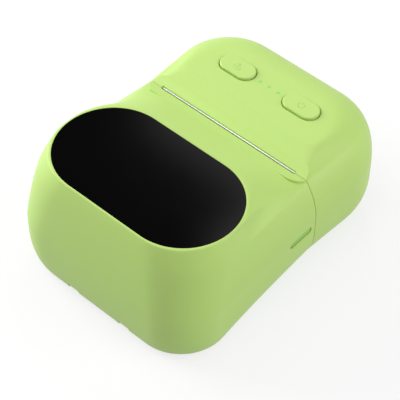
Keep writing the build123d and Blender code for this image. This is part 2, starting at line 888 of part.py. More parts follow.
def print_frame():
    """Steel frame: two cheeks, a crossbar behind the head and four screwed tabs."""
    rear = crossbar_y + cheek_thickness
    front = platen_y - 7.6
    corners = [(front, tab_low), (rear, tab_low), (rear, head_high), (front + 4, head_high),
               (front, platen_z - 3)]
    right = plate_x((cheek_x, cheek_outer), corners)
    motor_plate = [(rear - 3, tab_low), (motor_y + 6.3, tab_low), (motor_y + 6.3, board_height - 0.5),
                   (rear - 3, board_height - 0.5)]
    left = right.mirror(Plane.YZ) + plate_x((-cheek_outer, -cheek_x), motor_plate)
    left -= rod_x((-cheek_outer - 1, 0), motor_y, motor_z, 1.6)
    left -= rod_x((-cheek_outer - 1, 0), idler_y, idler_z, stud_radius)
    for y, z in motor_ears():
        left -= rod_x((-cheek_outer - 1, 0), y, z, screw_radius)
    frame = left + right
    # notches that the platen's bushes drop into as the cover closes
    away = atan2(platen_y - hinge_y, platen_z - hinge_z)
    notch = block((-cheek_outer - 1, cheek_outer + 1), (-notch_radius(), notch_radius()), (0, 20))
    notch += rod_x((-cheek_outer - 1, cheek_outer + 1), 0, 0, notch_radius())
    frame -= Pos(0, platen_y, platen_z) * Rot(90 - degrees(away), 0, 0) * notch
    frame -= rod_x((-cheek_outer - 1, cheek_outer + 1), pivot_y(), head_pivot_height, head_pivot_radius)
    frame += block((-cheek_outer, cheek_outer), (crossbar_y, rear), (crossbar_low, head_high))
    ys = [y for x, y in frame_screw_spots]
    spots_x = max(x for x, y in frame_screw_spots)
    for side in (-1, 1):
        ends = sorted((side * (spots_x - 2.6), side * cheek_outer))
        frame += block(ends, (min(ys) - 2.5, max(ys) + 2.5), (tab_low, tab_low + cheek_thickness))
    for x, y in frame_screw_spots:
        frame -= tapped(x, y, (0, tab_low + 3))
    return frame


def notch_radius():
    return bush_radius + notch_play


def pivot_y():
    return sink_y + sink_thickness / 2


def head_pivot_pin():
    return rod_x((-cheek_outer, cheek_outer), pivot_y(), head_pivot_height, head_pivot_radius)


def head_plate():
    return block((-head_half_length, head_half_length), (head_y, sink_y), (head_low, head_high))


def heat_sink():
    """Aluminium bar behind the head plate with cooling grooves in its back."""
    half = head_half_length + 0.5
    sink = block((-half, half), (sink_y, sink_back), (sink_low, head_high))
    for groove in range(4):
        z = head_low + 0.8 + groove * 1.6
        sink -= block((-half - 1, half + 1), (sink_back - 0.8, sink_back + 1), (z, z + 0.8))
    return sink - rod_x((-half - 1, half + 1), pivot_y(), head_pivot_height, head_pivot_radius + pin_play)


def down_screw(x, y, top, length, radius=screw_radius, head=screw_head_radius):
    """Pan-head screw that goes down from the face under its head."""
    return rod_z(x, y, (top, top + screw_head_height), head) + rod_z(x, y, (top - length, top), radius)


def up_screw(x, y, face, length, radius=screw_radius, head=screw_head_radius):
    """Pan-head screw that goes up from the face over its head."""
    return rod_z(x, y, (face - screw_head_height, face), head) + rod_z(x, y, (face, face + length), radius)


def frame_screws():
    top = tab_low + cheek_thickness
    return group([down_screw(x, y, top, cheek_thickness + frame_screw_length) for x, y in frame_screw_spots])


def housing_screws():
    return group([up_screw(x, y, screw_seat, screw_length) for x, y in housing_screw_spots])


def board_screws():
    main = [up_screw(x, y, board_height, board_screw_length) for x, y in board_boss_spots]
    key = [up_screw(x, y, key_board_height, key_screw_length, key_screw_radius, key_screw_head)
           for x, y in key_boss_spots]
    return group(main + key)


def main_board():
    z = (board_height, board_top)
    board = block((-board_half_width, board_half_width), (board_front, board_rear), z)
    board += block((-tongue_half_width, tongue_half_width), (board_rear, tongue_rear), z)
    for x, y in board_boss_spots:
        board -= tapped(x, y, (z[0] - 1, z[1] + 1))
    return board


def board_chips():
    """Processor, radio and charger packages, a capacitor and a row of small parts."""
    y, z = board_front, board_top
    chips = [block((-5, 4), (y + 5.2, y + 14.2), (z, z + 1.0)),
             block((8, 15), (y + 4.7, y + 10.7), (z, z + 0.9)),
             block((-17, -11), (y + 6.2, y + 11.2), (z, z + 0.8)),
             rod_z(12, board_rear - 4, (z, z + 3.2), 2.5)]
    row = (board_rear - 3.0, board_rear - 2.2)
    chips += [block((x, x + 1.6), row, (z, z + 0.6)) for x in (-16, -12, -8, -4, 0)]
    return group(chips)


def usb_socket():
    """Metal shell of the port, open at the rear, with a tongue inside."""
    low = board_top
    mouth = rear_y - 1.0
    y = (mouth - usb_depth, mouth)
    shell = rounded_bar(usb_half_width, usb_height / 2, y)
    shell -= rounded_bar(usb_half_width - usb_wall, usb_height / 2 - usb_wall, (y[0] + 1, y[1] + 1))
    feet = block((-usb_half_width + 1.6, usb_half_width - 1.6), (y[0], tongue_rear), (low, low + 0.2))
    tongue = block((-3.3, 3.3), (y[0] + 0.5, y[1] - 0.8), (usb_z - 0.35, usb_z + 0.35))
    return shell + feet + tongue


def rounded_bar(half_width, half_height, y):
    """Bar along Y with round sides, centred on the port."""
    spine = half_width - half_height
    bar = block((-spine, spine), y, (usb_z - half_height, usb_z + half_height))
    return bar + rod_y(-spine, y, usb_z, half_height) + rod_y(spine, y, usb_z, half_height)


def button_board():
    z = (key_board_height, key_board_top)
    y = (button_y - key_board_half_length, button_y + key_board_half_length)
    board = block((-key_board_half_width, key_board_half_width), y, z)
    for x, y in key_boss_spots:
        board -= rod_z(x, y, (z[0] - 1, z[1] + 1), key_screw_radius)
    return board


def switch_top():
    return key_board_top + key_height + plunger_height


def key_switches():
    low = key_board_top
    half = key_size / 2
    switches = []
    for x in (-button_x, button_x):
        body = block((x - half, x + half), (button_y - half, button_y + half), (low, low + key_height))
        switches.append(body + rod_z(x, button_y, (low + key_height, switch_top()), plunger_radius))
    return group(switches)


def push_button(x):
    """Button cap with its retaining flange and the stem over the switch."""
    half, radius = button_length / 2, button_width / 2
    under = plateau - housing_roof - button_flange_gap
    cap = stadium(x, button_y, (under - button_flange_height, plateau + button_proud), half, radius)
    rim = cap.edges().filter_by_position(Axis.Z, plateau + button_proud - 0.01, plateau + button_proud + 0.01)
    cap = fillet(rim, button_round)
    edge = button_flange
    cap += stadium(x, button_y, (under - button_flange_height, under), half + edge, radius + edge)
    low = switch_top() + button_travel + plunger_gap
    return cap + rod_z(x, button_y, (low, under), plunger_radius)


def feed_button():
    return push_button(-button_x)


def power_button():
    return push_button(button_x)


def indicator_lamps():
    low = key_board_top
    return group([block((x - 0.8, x + 0.8), (button_y - 0.5, button_y + 0.5), (low, low + 0.6))
                  for x in light_places()])


def light_guides():
    low = key_board_top + 0.8
    under = plateau - housing_roof
    guides = []
    for x in light_places():
        guide = rod_z(x, button_y, (low, plateau), light_radius)
        guides.append(guide + rod_z(x, button_y, (under - 1, under), light_collar))
    return group(guides)


def roll_cradle():
    """Half-round trough for the label roll, on two saddles, slotted for the guides' feet."""
    outer = cradle_inner + cradle_wall
    span = (-cradle_half_length, cradle_half_length)
    lower = block(span, (roll_y - outer, roll_y + outer), (0, roll_axis_height))
    cradle = rod_x(span, roll_y, roll_axis_height, outer) & lower
    for side in (-1, 1):
        x = sorted((side * (cradle_half_length - saddle_thickness), side * cradle_half_length))
        y = (roll_y - saddle_half_width, roll_y + saddle_half_width)
        cradle += block(x, y, (floor_top, cradle_low + saddle_rise))
    cradle -= rod_x((span[0] - 1, span[1] + 1), roll_y, roll_axis_height, cradle_inner)
    near = guide_x - guide_travel - guide_thickness / 2 - 0.6
    far = guide_x + guide_thickness / 2 + 0.4
    slot = block((near, far), (roll_y - guide_slot_half, roll_y + guide_slot_half), (0, roll_axis_height))
    return cradle - both_sides(slot)


def rack_teeth(start, end, phase):
    """Corner points of a straight rack whose teeth point towards +Y."""
    pitch = pi * gear_module
    first = int((start - phase) / pitch) + 1
    last = int((end - phase) / pitch)
    line = roll_y - guide_pitch
    root = line - 1.25 * gear_module - mesh_play
    tip = line + gear_module - mesh_play
    points = []
    for tooth in range(first, last):
        x = phase + tooth * pitch
        points += [(x - 0.29 * pitch, root), (x - 0.235 * pitch, line - mesh_play), (x - 0.12 * pitch, tip),
                   (x + 0.12 * pitch, tip), (x + 0.235 * pitch, line - mesh_play), (x + 0.29 * pitch, root)]
    return points


def paper_guide():
    """Left guide: round plate, hub, foot through the cradle's slot, and rack."""
    low, high = rack_low, rack_low + rack_height
    x = (-guide_x - guide_thickness / 2, -guide_x + guide_thickness / 2)
    guide = rod_x(x, roll_y, roll_axis_height, guide_radius)
    guide += rod_x((x[1], x[1] + guide_hub_length), roll_y, roll_axis_height, guide_hub_radius)
    foot = (roll_y - guide_foot_half, roll_y + guide_foot_half)
    guide += block(x, foot, (low, roll_axis_height - guide_radius + 2))
    back = roll_y - guide_pitch - 1.25 * gear_module - mesh_play - rack_width
    guide += block(x, (back, foot[1]), (low, high))
    end = rack_overrun
    profile = [(x[0], back), (end, back), (end, back + rack_width)]
    profile += list(reversed(rack_teeth(x[1], end - 0.3, 0)))
    profile += [(x[0], back + rack_width)]
    face = make_face(Polyline([(a, b, low) for a, b in profile], close=True))
    return guide + extrude(face, rack_height, dir=(0, 0, 1))


def guide_left():
    return paper_guide()


def guide_right():
    return Pos(0, roll_y, 0) * Rot(0, 0, 180) * Pos(0, -roll_y, 0) * paper_guide()


def guide_pinion():
    """Gear on the floor between the two racks; a gap faces each rack's middle tooth."""
    phase = -pi / 2 + pi / guide_pinion_teeth
    corners = [(a, roll_y + b, rack_low) for a, b in tooth_points(guide_pinion_teeth, phase)]
    wheel = extrude(make_face(Polyline(corners, close=True)), rack_height, dir=(0, 0, 1))
    return wheel - rod_z(0, roll_y, (0, rack_low + rack_height + 1), guide_post_radius + shaft_play)


def sensor_bracket():
    """Bent strip that holds the label gap sensor over the floor."""
    y = (sensor_y - 1.5, sensor_y)
    upright = block((-3, 3), y, (floor_top, sensor_z))
    return upright + block((-3, 3), (y[0] - 4, y[1]), (floor_top, floor_top + 1.2))


def gap_sensor():
    return block((-4, 4), (sensor_y - 3, sensor_y + 0.5), (sensor_z, sensor_z + 3))


def cover_switch():
    """Small switch on the frame's cheek that tells when the cover is shut."""
    thickness, length, height = switch_size
    x, y, z = cheek_outer, platen_y - 3.6, tab_low + 0.5
    body = block((x, x + thickness), (y, y + length), (z, z + height))
    return body + block((x + 0.8, x + 1.7), (y + 2, y + 4), (z + height, z + height + 1))


def battery():
    x, y = battery_from_left, battery_y
    length, width, height = battery_size
    low = floor_top + battery_pad_thickness
    cell = block((x, x + length), (y, y + width), (low, low + height))
    return fillet(cell.edges().filter_by(Axis.X), 1.5)


def battery_pad():
    x, y = battery_from_left + 2, battery_y + 2
    length, width, _ = battery_size
    z = (floor_top, floor_top + battery_pad_thickness)
    return block((x, x + length - 4), (y, y + width - 4), z)


def head_connector():
    return block((-7, 7), (board_front + 0.7, board_front + 3.2), (board_height - 1.6, board_height))


def head_flex():
    z = board_height - 1.1
    return block((-6, 6), (sink_back + 0.4, board_front + 0.7), (z, z + 0.2))


def rubber_feet():
    return group([rod_z(x, y, (0, foot_height), foot_radius) for x, y in foot_spots])


makers = [
    base_tray, rear_housing, print_frame, frame_screws, tear_bar, head_pivot_pin, head_springs,
    idler_stud, motor_case, motor_screws, gap_sensor, sensor_bracket, cover_switch, roll_cradle,
    main_board, board_chips, usb_socket, button_board, key_switches, indicator_lamps, light_guides,
    board_screws, battery, battery_pad, head_connector, head_flex, housing_screws, rubber_feet,
    front_cover, window, hinge_pins, platen_bracket, bracket_screws, platen_bushes, release_spring,
    platen_shaft, platen_rubber, platen_gear, platen_clip, release_button, head_plate, heat_sink,
    idler_gear, motor_shaft, motor_pinion, feed_button, power_button, guide_left, guide_right,
    guide_pinion,
]

if __name__ == "__main__":
    os.makedirs("parts", exist_ok=True)
    for make in makers:
        export_step(make(), f"parts/{make.__name__}.step")
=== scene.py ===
"""Dressed model of a portable thermal label printer, in metres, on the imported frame."""
import json
from math import atan2, cos, pi, radians, sin, sqrt, tan

import bmesh
import bpy
from mathutils import Matrix, Vector

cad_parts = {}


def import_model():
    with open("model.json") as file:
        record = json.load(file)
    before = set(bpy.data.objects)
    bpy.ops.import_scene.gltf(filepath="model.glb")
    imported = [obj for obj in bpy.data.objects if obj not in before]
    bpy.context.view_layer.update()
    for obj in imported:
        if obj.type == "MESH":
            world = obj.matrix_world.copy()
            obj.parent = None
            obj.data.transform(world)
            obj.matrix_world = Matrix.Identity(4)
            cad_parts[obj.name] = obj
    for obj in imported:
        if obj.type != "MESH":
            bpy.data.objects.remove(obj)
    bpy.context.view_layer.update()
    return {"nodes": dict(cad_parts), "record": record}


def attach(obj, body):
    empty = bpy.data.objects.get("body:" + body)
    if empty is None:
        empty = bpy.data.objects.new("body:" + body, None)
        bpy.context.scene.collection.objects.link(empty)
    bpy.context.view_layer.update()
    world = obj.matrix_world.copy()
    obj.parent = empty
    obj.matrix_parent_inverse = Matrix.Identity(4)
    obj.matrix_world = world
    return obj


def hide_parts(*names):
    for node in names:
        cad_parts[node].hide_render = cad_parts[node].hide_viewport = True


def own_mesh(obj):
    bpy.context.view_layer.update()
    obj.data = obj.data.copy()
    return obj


# Outer body
body_length = 0.1032
body_height = 0.0450
shell_bottom = 0.0006
front_half_width = 0.0382
seam_half_width = 0.0378
rear_half_width = 0.0388
wall = 0.0020
cover_roof = 0.0026
housing_roof = 0.0020
front_widest = 0.0193
rear_widest = 0.0230
slot_drop = 0.0084
plateau_drop = 0.0044
parting_front = 0.0009
parting_seam = 0.0050
parting_gap = 0.00015
floor_top = 0.0024
overshoot = 0.001

# Shape of the shells
window_from_front = 0.0251
window_half_length = 0.0337
window_radius = 0.0190
window_rim = 0.0005
rim_side = 0.0009
rim_round = 0.00030
window_thickness = 0.0014
window_ledge = 0.0020
window_gap = 0.00008
window_edge = 0.00015
slot_from_window = 0.0368
behind_slot_slope = radians(24)
front_tuck = 0.0030
front_side_tuck = 0.0040
front_tuck_height = 0.0140
rear_tuck = 0.0100
rear_tuck_height = 0.0155
front_corner = 0.0156
rear_corner = 0.0212
rear_top_corner_loss = 0.0085
side_shoulder = 0.0120
rear_shoulder = 0.0140
shoulder_scoop = 0.0042
lip_end_scoop = 0.0018
relaxed_before_window = 0.0040
relaxed_above_valley = 0.0003
relax_times = 16
seam_edge = 0.0003
rise_edge = 0.0030
front_lean_power = 1.23
front_flare_power = 1.56
front_corner_power = 0.83
side_power = 1.72
front_corner_tucked = 0.4
rear_corner_tucked = 0.7
setback_slope = 4
lower_bunching = 1.35
rim_bunching = 1.6
rear_power = 3.2
crown_above_window = 0.0037
seam_gap = 0.00014

# Paper slot, buttons and lights
slot_half_length = 0.0283
slot_front = 0.0006
tear_bar_thickness = 0.0006
tear_bar_proud = 0.00012
tear_bar_depth = 0.0033
tear_bar_end_gap = 0.0002
tear_bar_rear_gap = 0.00002
tear_bar_edge = 0.00012
lip_half_length = 0.0326
lip_half_width = 0.0045
lip_depth = 0.0050
lip_proud = 0.00025
lip_run_out = 0.00006
lip_round = 0.00030
button_x = 0.0134
button_from_slot = 0.0207
button_length = 0.0135
button_width = 0.0074
button_proud = 0.0008
button_gap = 0.00013
button_edge = 0.00045
button_flange = 0.0010
button_flange_edge = 0.0008
button_flange_gap = 0.00015
button_stem_foot = 0.0372
button_stem_radius = 0.0017
moat_width = 0.0009
moat_depth = 0.0006
moat_slope = 0.00072
light_spacing = 0.0038
light_radius = 0.0005
light_gap = 0.00005
symbol_width = 0.00035
symbol_flatness = 0.2
power_ring_radius = 0.00115

# Hinge, platen bracket, release button and port
hinge_from_front = 0.0034
hinge_z = 0.0032
knuckle_radius = 0.0015
knuckle_clearance = 0.00035
lug_x = 0.0110
lug_width = 0.0040
lug_gap = 0.0003
knuckle_width = 0.0025
web_from_front = 0.0018
notch_overrun = 0.0020
tray_from_hinge = 0.0038
neck_root = 0.0015
neck_shoulder = (0.0012, 0.0009)
tray_pocket_rise = 0.0030
cover_floor_gap = 0.0006
cover_floor_lift = 0.0001
bracket_screw_x = 0.0180
bracket_screw_y = -0.0009
bracket_top = 0.0352
bracket_boss_height = 0.0050
release_y = 0.0031
release_z = 0.0196
release_length = 0.0106
release_width = 0.0026
release_gap = 0.0002
release_face_sunk = 0.0001
release_face_thickness = 0.0008
release_face_edge = 0.00025
release_opening_depth = 0.0020
carrier_x = 0.0304
carrier_thickness = 0.0010
carrier_half_height = 0.0041
carrier_half_length = 0.0057
spring_end = 0.0345
spring_turns = 4
spring_wire = 0.0003
spring_radius = 0.00145
keeper_x = (0.03445, 0.0368)
keeper_y = (0.012, 0.014)
keeper_z = (0.0216, 0.0230)
usb_z = 0.0272
port_half_width = 0.0048
port_radius = 0.0019
port_depth = 0.0040
head_y = 0.0104

# Screw posts, bosses and feet
post_radius = 0.0026
post_split = 0.0060
post_top = 0.0375
post_root = 0.0005
boss_radius = 0.0022
board_top = 0.0256
board_boss_top = 0.0388
frame_post_top = 0.0050
key_boss_radius = 0.0016
key_board_top = 0.0334
key_boss_top = 0.0395
pinion_post_radius = 0.0012
pinion_post_top = 0.0044
pinion_behind_window = 0.0025
screw_head_radius = 0.0021
screw_head_room = 0.0021
housing_screw_spots = [(0.0285, 0.031), (-0.0285, 0.031), (0.020, 0.041), (-0.020, 0.041)]
board_boss_spots = [(0.022, 0.0205), (-0.022, 0.0205), (0.0228, 0.0348), (-0.0228, 0.0348)]
key_boss_spots = [(0.0032, 0.0269), (-0.0032, 0.0269), (0.0032, 0.0351), (-0.0032, 0.0351)]
frame_screw_spots = [(0.0245, 0.0035), (-0.0245, 0.0035), (0.0245, 0.012), (-0.0245, 0.012)]
foot_spots = [(0.020, -0.034), (-0.020, -0.034), (0.018, 0.033), (-0.018, 0.033)]
foot_radius = 0.0040
foot_height = 0.0010

# Places worked out from the sizes above
front_y = -body_length / 2
rear_y = body_length / 2
window_y = front_y + window_from_front
seam_y = window_y + slot_from_window
valley = body_height - slot_drop
plateau = body_height - plateau_drop
button_y = seam_y + button_from_slot
hinge_y = front_y + hinge_from_front
tray_front = hinge_y + tray_from_hinge
release_inner = seam_half_width - wall
symbol_z = plateau + button_proud

# Mesh fineness
edge_steps = 10
side_steps = 22
front_arc_steps = 22
rear_arc_steps = 16
round_steps = 48
lower_steps = 46
rim_steps = 22
rim_round_steps = 4
rise_steps = 26
spring_steps = 24

# Colours (linear)
lime = (0.430, 0.634, 0.155)
# Release button face: a darker, more saturated green than the lime shell, which paints the shade that
# falls inside its recess
release_painted_shade_green = (0.270, 0.520, 0.072)
symbol_green = (0.360, 0.560, 0.130)
lamp_light_green = (0.150, 0.660, 0.050)
smoked_black = (0.001, 0.001, 0.001)
moulded_black = (0.020, 0.020, 0.022)
glazed_white = (0.600, 0.580, 0.540)
board_mask_green = (0.030, 0.160, 0.070)
bright_grey = (0.720, 0.740, 0.700)

# Surface grain
broad_scale = 60
roughness_spread = 0.05
relief_height = 0.0002
sheen_roughness = 0.4
scratch_scale = 300
scratch_stretch = (1, 40, 40)

# Light and floor
world_light = 0.44
floor_colour = 0.55
seen_floor_colour = 0.85
shadow_share = 0.25
floor_gap = 0.00005
floor_half_size = 1.5
warm = (1.0, 0.87, 1.0)
lamp_distance = 0.7
band_height = 0.5
band_power = 70

# Camera, from a fit to the outline of the photographed object
camera_azimuth = radians(41.42)
camera_elevation = radians(48.57)
camera_roll = radians(0.69)
camera_distance = 0.48577
camera_across = -0.015998
camera_down = -0.00753
sensor_width = 36
focal_length = 144


# Shape law of the shells

def swell(share, power):
    """How far a wall has drawn in: 0 at its widest level, 1 at the top of its curve."""
    return 1 - sqrt(1 - min(max(share, 0), 1) ** power)


def tuck(z, depth, height):
    """How far a wall draws in under the body, along a quarter of an ellipse."""
    share = min(max(1 - z / height, 0), 0.999)
    return depth * (1 - sqrt(1 - share ** 2))


def spread(start, end, count):
    """Points on a straight run, without its end point."""
    return [tuple(a + (b - a) * i / count for a, b in zip(start, end)) for i in range(count)]


def arc(centre, radius, first, last, count):
    """Points on an arc, without its end point."""
    turns = [first + (last - first) * i / count for i in range(count)]
    return [(centre[0] + radius * cos(a), centre[1] + radius * sin(a)) for a in turns]


def outline(y_front, y_rear, side_a, side_b, r_front, r_rear):
    """Closed ring of (x, y) points: straight front, rear and sides, joined by arcs.

    side_a and side_b are two (y, x) points of the straight right side.
    """
    slope = (side_b[1] - side_a[1]) / (side_b[0] - side_a[0])
    lean = atan2(side_b[1] - side_a[1], side_b[0] - side_a[0])

    def corner(y, radius, way):
        x = side_a[1] + slope * (y - side_a[0])
        reach = radius / tan((pi / 2 - way * lean) / 2)
        side = (x - way * reach * sin(lean), y - way * reach * cos(lean))
        return (x - reach, y - way * radius), (x - reach, y), side

    front_centre, front, front_side = corner(y_front, r_front, -1)
    rear_centre, rear, rear_side = corner(y_rear, r_rear, 1)
    half = spread((0, y_front), front, edge_steps)
    half += arc(front_centre, r_front, -pi / 2, -lean, front_arc_steps)
    half += spread(front_side, rear_side, side_steps)
    half += arc(rear_centre, r_rear, -lean, pi / 2, rear_arc_steps)
    half += spread(rear, (0, y_rear), edge_steps) + [(0, y_rear)]
    return half + [(-x, y) for x, y in reversed(half[1:-1])]


def seam_width(z, inset=0):
    """Half width of both shells at the seam."""
    up = (z - rear_widest) / (plateau - rear_widest)
    under = tuck(z, rear_tuck, rear_tuck_height)
    return seam_half_width - side_shoulder * swell(up, side_power) - under - inset


def front_outline(height, inset=0, setback=0):
    """Ring of the front shell at a height."""
    curve = body_height + crown_above_window - front_widest
    up = (height - front_widest) / curve
    top = (body_height - front_widest) / curve
    lean = swell(up, front_lean_power) / swell(top, front_lean_power)
    flare = swell(up, front_flare_power) / swell(top, front_flare_power)
    rim = window_radius + window_rim
    rim_half = window_half_length + window_rim
    climb = min(max((height - front_widest) / (body_height - front_widest), 0), 1)
    under = tuck(height, front_tuck, front_tuck_height)
    y_front = front_y + (window_from_front - rim) * lean + under + inset
    half = front_half_width + (rim_half - front_half_width) * flare - inset
    half -= tuck(height, front_side_tuck, front_tuck_height)
    top_corner = rim - rim_side
    grown = climb ** front_corner_power
    r_front = front_corner + (top_corner - front_corner) * grown + front_corner_tucked * under - inset
    share = max((height - valley) / slot_drop, 0)
    y_rear = seam_y + (window_y + rim - seam_y) * share
    half_rear = seam_width(min(height, valley), inset)
    half_rear += (rim_half - seam_width(valley)) * share - 4 * shoulder_scoop * share * (1 - share)
    r_rear = seam_edge + (top_corner - seam_edge - inset) * share ** 0.5
    return outline(y_front, y_rear - setback, (window_y, half), (y_rear, half_rear), r_front, r_rear)


def rear_outline(height, inset=0, setback=0):
    """Ring of the rear shell at a height."""
    up = (height - rear_widest) / (plateau - rear_widest)
    shoulder = swell(up, side_power)
    under = tuck(height, rear_tuck, rear_tuck_height)
    y_rear = rear_y - rear_shoulder * swell(up, rear_power) - under - inset
    half = rear_half_width - side_shoulder * shoulder - under - inset
    r_rear = rear_corner - rear_top_corner_loss * shoulder - rear_corner_tucked * under - inset
    share = max((height - valley) / (plateau - valley), 0)
    y_front = seam_y + share * (plateau - valley) / tan(behind_slot_slope) + setback
    r_front = seam_edge + (rise_edge - seam_edge) * share
    side = (seam_y, seam_width(height, inset) - 4 * lip_end_scoop * share * (1 - share))
    return outline(y_front, y_rear, side, (seam_y + rear_corner, half), r_front, r_rear)


# Mesh helpers

def new_object(name, bm):
    """Puts a bmesh into the scene as an object."""
    mesh = bpy.data.meshes.new(name)
    bm.to_mesh(mesh)
    bm.free()
    obj = bpy.data.objects.new(name, mesh)
    bpy.context.scene.collection.objects.link(obj)
    return obj


def from_rings(name, rings):
    """Closed solid from equal rings of 3-D points, with flat caps."""
    bm = bmesh.new()
    loops = [[bm.verts.new(point) for point in ring] for ring in rings]
    count = len(loops[0])
    for low, high in zip(loops, loops[1:]):
        for i in range(count):
            j = (i + 1) % count
            bm.faces.new((low[i], low[j], high[j], high[i]))
    bm.faces.new(list(reversed(loops[0])))
    bm.faces.new(loops[-1])
    return new_object(name, bm)


def prism_z(name, points, z):
    """Upright solid from (x, y) points between two levels."""
    return from_rings(name, [[(x, y, level) for x, y in points] for level in z])


def prism_x(name, points, x):
    """Solid between two x limits from (y, z) points, in either order."""
    obj = from_rings(name, [[(level, y, z) for y, z in points] for level in x])
    settle(obj)
    return obj


def settle(obj):
    """Turns an object's normals outward."""
    bm = bmesh.new()
    bm.from_mesh(obj.data)
    bmesh.ops.recalc_face_normals(bm, faces=bm.faces)
    bm.to_mesh(obj.data)
    bm.free()


def block(name, x, y, z):
    """Box between two limits along each axis."""
    corners = [(x[0], y[0]), (x[1], y[0]), (x[1], y[1]), (x[0], y[1])]
    return prism_z(name, corners, z)


def circle(x, y, radius):
    turns = [2 * pi * i / round_steps for i in range(round_steps)]
    return [(x + radius * cos(a), y + radius * sin(a)) for a in turns]


def stadium_points(x, y, half_length, radius):
    """Round-ended outline, long along its first axis."""
    spine = half_length - radius
    right = arc((x + spine, y), radius, -pi / 2, pi / 2, round_steps)
    left = arc((x - spine, y), radius, pi / 2, 3 * pi / 2, round_steps)
    return right + [(x + spine, y + radius)] + left + [(x - spine, y - radius)]


def rod_z(name, x, y, z, radius):
    return prism_z(name, circle(x, y, radius), z)


def rod_x(name, x, y, z, radius):
    return prism_x(name, circle(y, z, radius), x)


def rods(name, spots, z, radius):
    """Equal upright rods at (x, y) spots."""
    return [rod_z(name, x, y, z, radius) for x, y in spots]


def pill_x(name, x, y, z, length, width):
    """Round-ended slab along Y between two x limits."""
    return prism_x(name, stadium_points(y, z, length / 2, width / 2), x)


def apply_modifiers(obj):
    """Turns an object's modifiers into its mesh."""
    depsgraph = bpy.context.evaluated_depsgraph_get()
    mesh = bpy.data.meshes.new_from_object(obj.evaluated_get(depsgraph))
    obj.modifiers.clear()
    old = obj.data
    obj.data = mesh
    bpy.data.meshes.remove(old)


def combine(obj, other, operation):
    """Boolean of two solids; the second one is used up."""
    modifier = obj.modifiers.new("combine", "BOOLEAN")
    modifier.operation = operation
    modifier.solver = "EXACT"
    modifier.object = other
    apply_modifiers(obj)
    bpy.data.objects.remove(other)
    return obj


def cut(obj, *others):
    """Takes other solids out of an object, one after another."""
    for other in others:
        combine(obj, other, "DIFFERENCE")
    return obj


def join(obj, others):
    """Adds other meshes to an object as they are."""
    bm = bmesh.new()
    bm.from_mesh(obj.data)
    for other in others:
        bm.from_mesh(other.data)
        bpy.data.objects.remove(other)
    bm.to_mesh(obj.data)
    bm.free()
    return obj


def smooth(obj, angle=32):
    """Smooth shading that keeps edges sharper than the angle."""
    obj.data.polygons.foreach_set("use_smooth", [True] * len(obj.data.polygons))
    obj.data.set_sharp_from_angle(angle=radians(angle))


def flatten(obj):
    """Lets large flat faces set the shading at their rounded edges."""
    modifier = obj.modifiers.new("flatten", "WEIGHTED_NORMAL")
    modifier.mode = "FACE_AREA"
    modifier.weight = 100
    modifier.keep_sharp = True
    apply_modifiers(obj)


def bevel(obj, width, segments=3, angle=35):
    """Rounds the edges that are sharper than the angle."""
    modifier = obj.modifiers.new("bevel", "BEVEL")
    modifier.width = width
    modifier.segments = segments
    modifier.limit_method = "ANGLE"
    modifier.angle_limit = radians(angle)
    apply_modifiers(obj)
    return obj


# Shells

def lower_levels():
    """Heights from the bottom edge to the valley, closer together where the walls tuck under."""
    climb = valley - shell_bottom
    return [shell_bottom + climb * (i / lower_steps) ** lower_bunching for i in range(lower_steps + 1)]


def rim_levels(low, top):
    """(height, extra inset) pairs from the valley to the window rim, rounded at its edge."""
    plain = top - rim_round
    shares = [(i / rim_steps) ** rim_bunching for i in range(1, rim_steps + 1)]
    levels = [(low + (plain - low) * share, 0) for share in shares]
    for i in range(1, rim_round_steps + 1):
        turn = pi / 2 * i / rim_round_steps
        levels.append((plain + rim_round * sin(turn), rim_round * (1 - cos(turn))))
    return levels


def squeezed(height, widest, top, roof):
    """Level of the hollow that stands for a height of the outer law."""
    return height - roof * max(height - widest, 0) / (top - widest)


def relax(obj, y_front, low, high, times):
    """Evens out the part of a surface that lies behind a place and between two levels."""
    axes = {"use_axis_x": True, "use_axis_y": True, "use_axis_z": True}
    bm = bmesh.new()
    bm.from_mesh(obj.data)
    loose = [vertex for vertex in bm.verts if vertex.co.y > y_front and low < vertex.co.z < high]
    for _ in range(times):
        bmesh.ops.smooth_vert(bm, verts=loose, factor=0.5, **axes)
    bm.to_mesh(obj.data)
    bm.free()


def front_solid(name, inset=0, roof=0):
    """Front shell's outer body, or with an inset and a roof its hollow."""
    rings = []
    for height in lower_levels():
        z = squeezed(height, front_widest, body_height, roof)
        rings.append([(x, y, z) for x, y in front_outline(height, inset)])
    for height, extra in rim_levels(valley, body_height):
        z = squeezed(height, front_widest, body_height, roof)
        setback = min(inset, (height - valley) * setback_slope) + extra
        rings.append([(x, y, z) for x, y in front_outline(height, inset + extra, setback)])
    solid = from_rings(name, rings)
    if not inset:
        low, high = valley + relaxed_above_valley, body_height - 3 * rim_round
        relax(solid, window_y - relaxed_before_window, low, high, relax_times)
    return solid


def rear_solid(name, inset=0, roof=0):
    """Rear shell's outer body, or with an inset and a roof its hollow."""
    rings = []
    for height in lower_levels():
        z = squeezed(height, rear_widest, plateau, roof)
        rings.append([(x, y, z) for x, y in rear_outline(height, inset)])
    for i in range(1, rise_steps + 1):
        height = plateau - (plateau - valley) * (1 - i / rise_steps) ** 2
        z = squeezed(height, rear_widest, plateau, roof)
        setback = min(inset, (height - valley) * setback_slope)
        rings.append([(x, y, z) for x, y in rear_outline(height, inset, setback)])
    return from_rings(name, rings)


def wedge(name, gap=0):
    """Everything below the line where the tray meets the shells."""
    low, high = front_y - overshoot, rear_y + overshoot
    points = [(low, -overshoot), (high, -overshoot), (high, parting_seam + gap),
              (seam_y, parting_seam + gap), (low, parting_front + gap)]
    side = rear_half_width + overshoot
    return prism_x(name, points, (-side, side))


